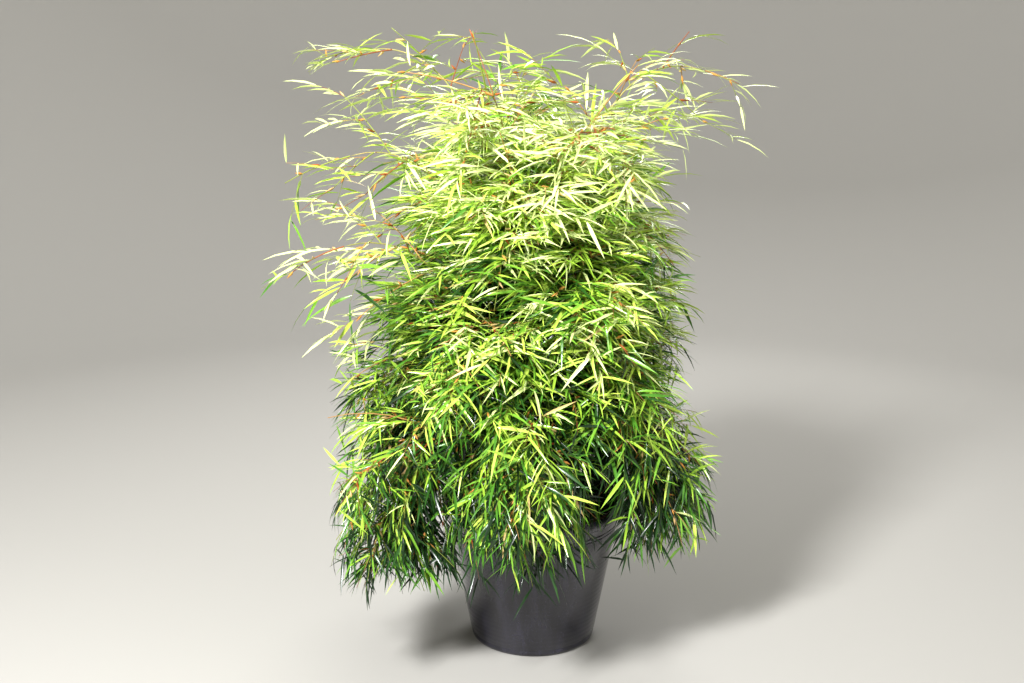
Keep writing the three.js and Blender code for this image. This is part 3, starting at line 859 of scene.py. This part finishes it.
def blades(leaves):
    """The points and faces of many leaves, and the faces of each: three rows of three points from foot to tip."""
    root, way, face, length = leaves[:, :3], leaves[:, 3:6], leaves[:, 6:9], leaves[:, 9:]
    side = np.cross(way, face)
    dice = np.random.default_rng(CURL_SEED)
    curl = LEAF_CURL * dice.uniform(*LEAF_CURL_RANGE, (len(leaves), 1))
    slenderness = LEAF_SLENDERNESS * dice.uniform(1 - LEAF_WIDTH_SPREAD, 1 + LEAF_WIDTH_SPREAD, (len(leaves), 1))
    width = slenderness * length / 2

    def midrib(s):
        return root + way * length * s + face * LEAF_ARCH * 4 * s * (1 - s) * length - UP * curl * s**2 * length

    points = [midrib(0)]
    for s, wide in LEAF_RINGS:
        middle = midrib(s)
        lift = face * width * wide * LEAF_FOLD
        points += [middle - side * width * wide + lift, middle, middle + side * width * wide + lift]
    points.append(midrib(1))
    points = np.stack(points, 1)
    one = [(0, 2, 1), (0, 3, 2)]
    for a in (1, 4):
        one += [(a, a + 1, a + 4), (a, a + 4, a + 3), (a + 1, a + 2, a + 5), (a + 1, a + 5, a + 4)]
    one += [(7, 8, 10), (8, 9, 10)]
    faces = np.array(one)[None] + points.shape[1] * np.arange(len(leaves))[:, None, None]
    return points.reshape(-1, 3), faces.reshape(-1, 3), len(one)


for k, name in enumerate(LEAF_PIECES):
    masses = range(MASSES_PER_PIECE * k, MASSES_PER_PIECE * (k + 1))
    leaves = np.concatenate([leaves_of_mass[i] for i in masses])
    tones = leaf_tones_with_painted_light(leaves, np.concatenate([tones_of_mass[i] for i in masses]))
    points, faces, per_leaf = blades(leaves)
    piece = joined_mesh(name, points, faces)
    for skin in leaf_skins:
        piece.data.materials.append(skin)
    piece.data.polygons.foreach_set("material_index", np.repeat(tones, per_leaf))
    piece.data.shade_smooth()
    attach(piece, "root")
    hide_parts(*[f"leaves_{i + 1:02d}" for i in masses])


# The twigs and sprays are thin, hard wood that grew from the stems. Their bark is green, and tan to reddish brown
# where a papery sheath still wraps it.
TWIG_RADII = np.linspace(0.0019, 0.0010, TWIG_STEPS + 1)
TWIG_SIDES = 4
TWIG_SHARES = (0.5, 0.3, 0.2)  # of the three barks
SPRAY_RADII = np.linspace(0.0010, 0.0005, SPRAY_STEPS + 1)
SPRAY_SIDES = 3
SPRAY_SHARES = (0.55, 0.3, 0.15)
NUDGE = 1e-4  # leans the upright a little, so that a way straight up still has a side
BARK_SEED = 5


def rods(rows, radii, sides):
    """The points and faces of many thin twigs, and the faces of each: a ring round each point, closed at the tip."""
    count, rings = len(rows), len(rows[0])
    rows = np.array(rows)
    ahead = np.gradient(rows, axis=1)
    ahead /= np.linalg.norm(ahead, axis=2, keepdims=True)
    side = np.cross(ahead, UP + NUDGE)
    side /= np.linalg.norm(side, axis=2, keepdims=True)
    over = np.cross(side, ahead)
    radius = np.array(radii)[None, :, None]
    turns = np.arange(sides) * math.tau / sides
    ring = [rows + radius * (side * math.cos(t) + over * math.sin(t)) for t in turns]
    points = np.stack(ring, 2).reshape(count, rings * sides, 3)
    one = []
    for r in range(rings - 1):
        for s in range(sides):
            a, b = r * sides + s, r * sides + (s + 1) % sides
            one += [(a, a + sides, b), (b, a + sides, b + sides)]
    end = (rings - 1) * sides
    one += [(end, end + s + 1, end + s) for s in range(1, sides - 1)]
    faces = np.array(one)[None] + rings * sides * np.arange(count)[:, None, None]
    return points.reshape(-1, 3), faces.reshape(-1, 3), len(one)


def rod_piece(name, kinds, skins):
    """One piece made of kinds of rods. Each kind gives its rows, radii and sides, and the shares of the materials."""
    points, faces, tones = [], [], []
    dice = np.random.default_rng(BARK_SEED)
    total = 0
    for rows, radii, sides, shares in kinds:
        some, those, per_rod = rods(rows, radii, sides)
        points.append(some)
        faces.append(those + total)
        tones.append(np.repeat(dice.choice(len(shares), len(rows), p=shares), per_rod))
        total += len(some)
    made = joined_mesh(name, np.concatenate(points), np.concatenate(faces))
    for kind, colour in skins.items():
        skin, tree = new_material(kind)
        shader = add(tree, "ShaderNodeBsdfPrincipled", {"Base Color": linear(colour), "Roughness": 0.6, "IOR": 1.45})
        add(tree, "ShaderNodeOutputMaterial", {"Surface": shader.outputs[0]})
        made.data.materials.append(skin)
    made.data.polygons.foreach_set("material_index", np.concatenate(tones))
    made.data.shade_smooth()
    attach(made, "root")
    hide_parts(*[f"leaves_{i + 1:02d}" for i in range(CANE_COUNT)])


# Young bamboo wood: a dry skin with hardly a shine, in three barks from green to reddish brown.
all_twigs = [twig for mass in twigs_of_mass for twig in mass]
all_sprays = [spray for mass in sprays_of_mass for spray in mass]
rod_piece(
    "twigs",
    [(all_twigs, TWIG_RADII, TWIG_SIDES, TWIG_SHARES), (all_sprays, SPRAY_RADII, SPRAY_SIDES, SPRAY_SHARES)],
    {"green_twig_bark": "#8d9a3c", "tan_twig_bark": "#b0834a", "red_twig_bark": "#96522c"},
)


# A sheath wraps the foot of each spray: a dry papery scale that stands off a little at its tip, pale tan on most
# and rusty red on the young ones. They show as small warm flecks among the leaves.
SHEATH_LENGTH = 0.025
SHEATH_LENGTH_SPREAD = 0.3
SHEATH_WIDEST = 0.35  # how far along
SHEATH_RADII = (0.0012, 0.0034, 0.0004)
SHEATH_JUMBLE = 0.3
SHEATH_SIDES = 4
SHEATH_SHARES = (0.3, 0.4, 0.3)  # of the three papers
SHEATH_SEED = 8

dice = np.random.default_rng(SHEATH_SEED)
sheaths = []
for spray in all_sprays:
    way = unit(unit(spray[1] - spray[0]) + SHEATH_JUMBLE * dice.normal(size=3))
    length = SHEATH_LENGTH * dice.uniform(1 - SHEATH_LENGTH_SPREAD, 1 + SHEATH_LENGTH_SPREAD)
    sheaths.append([spray[0], spray[0] + way * length * SHEATH_WIDEST, spray[0] + way * length])

# Dried sheath paper: matt and fibrous, from straw through tan to rusty red.
rod_piece(
    "bud_sheaths",
    [(sheaths, SHEATH_RADII, SHEATH_SIDES, SHEATH_SHARES)],
    {"straw_paper_sheath": "#d3b277", "tan_paper_sheath": "#c98a3c", "rusty_paper_sheath": "#ab5a1e"},
)
